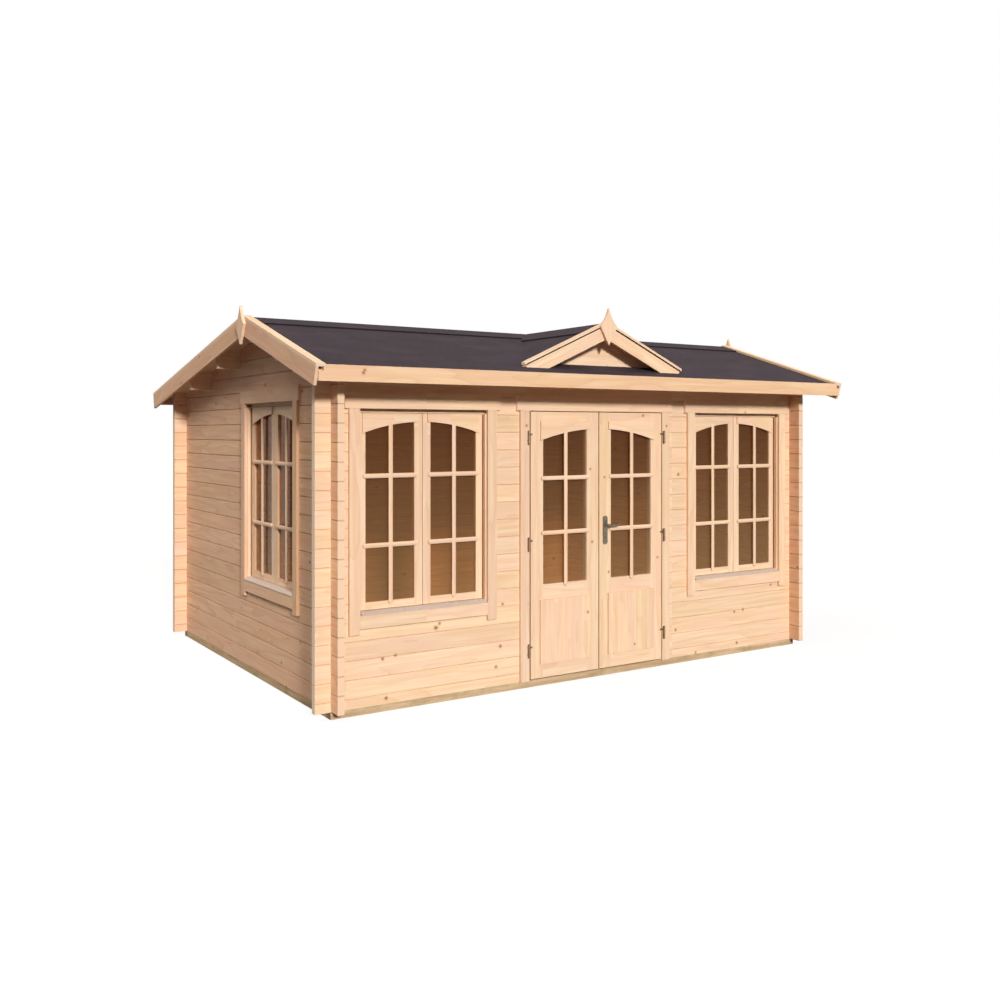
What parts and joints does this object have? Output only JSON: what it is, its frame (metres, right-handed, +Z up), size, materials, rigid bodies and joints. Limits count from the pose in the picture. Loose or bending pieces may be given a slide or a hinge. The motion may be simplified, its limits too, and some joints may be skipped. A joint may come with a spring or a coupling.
{
  "type": "log cabin",
  "caption": "Garden log cabin with interlocking corner logs, arched glazed windows, outward-opening glazed double doors and a small roof dormer.",
  "frame": {"origin": "on the ground in the middle of the four walls", "axes": "+X to the right along the front, +Y from the door front to the back, +Z up"},
  "size_m": [4.472, 3.4685, 2.5519],
  "materials": {
    "log_pine": "planed, untreated",
    "trim_pine": "planed, untreated",
    "roof_pine": "planed, untreated",
    "treated_wood": "pressure treated",
    "glass": "clear",
    "roofing_felt": "mineral felt",
    "hinge_steel": "dull zinc",
    "handle_steel": "satin",
    "drip_aluminium": "mill"
  },
  "bodies": {
    "cabin": {"back_wall_logs": "log_pine", "capping_strips": "trim_pine", "door_casing": "trim_pine", "door_frame": "trim_pine", "dormer_bargeboards": "trim_pine", "dormer_felt": "roofing_felt", "dormer_infill": "trim_pine", "dormer_roof_boards": "roof_pine", "eave_fascias": "trim_pine", "finials": "trim_pine", "floor_boards": "roof_pine", "foundation_beams": "treated_wood", "front_left_window_casing": "trim_pine", "front_left_window_frame": "trim_pine", "front_left_window_sashes": "trim_pine", "front_pier_logs": "log_pine", "front_right_window_casing": "trim_pine", "front_right_window_frame": "trim_pine", "front_right_window_sashes": "trim_pine", "front_sill_logs": "log_pine", "front_top_logs": "log_pine", "gable_bargeboards": "trim_pine", "gable_battens": "roof_pine", "hinge_posts": "hinge_steel", "left_gable_logs": "log_pine", "left_pier_logs": "log_pine", "left_sill_logs": "log_pine", "purlins": "roof_pine", "ridge_caps": "roofing_felt", "right_wall_logs": "log_pine", "roof_boards": "roof_pine", "roof_felt": "roofing_felt", "side_window_casing": "trim_pine", "side_window_frame": "trim_pine", "side_window_sashes": "trim_pine", "window_drip_strips": "drip_aluminium", "window_glass": "glass"},
    "left_door": {"door_left_leaf": "trim_pine", "door_left_trim": "trim_pine", "door_left_glass": "glass", "door_left_hinges": "hinge_steel"},
    "right_door": {"door_right_leaf": "trim_pine", "door_right_trim": "trim_pine", "door_right_glass": "glass", "door_right_hinges": "hinge_steel", "handle_plates": "handle_steel"},
    "handle": {"door_handle": "handle_steel"}
  },
  "joints": [
    {"name": "left_door_swing", "type": "hinge", "parent": "cabin", "child": "left_door", "pos_m": [-0.596, -1.53, 0.957], "axis": [0, 0, -1], "range_deg": [0, 110]},
    {"name": "right_door_swing", "type": "hinge", "parent": "cabin", "child": "right_door", "pos_m": [0.596, -1.53, 0.957], "axis": [0, 0, 1], "range_deg": [0, 110]},
    {"name": "handle_turn", "type": "hinge", "parent": "right_door", "child": "handle", "pos_m": [0.053, -1.52, 1.055], "axis": [0, 1, 0], "range_deg": [0, 40], "stiffness_Nm_per_rad": 1.2, "springref_deg": -28.65}
  ]
}
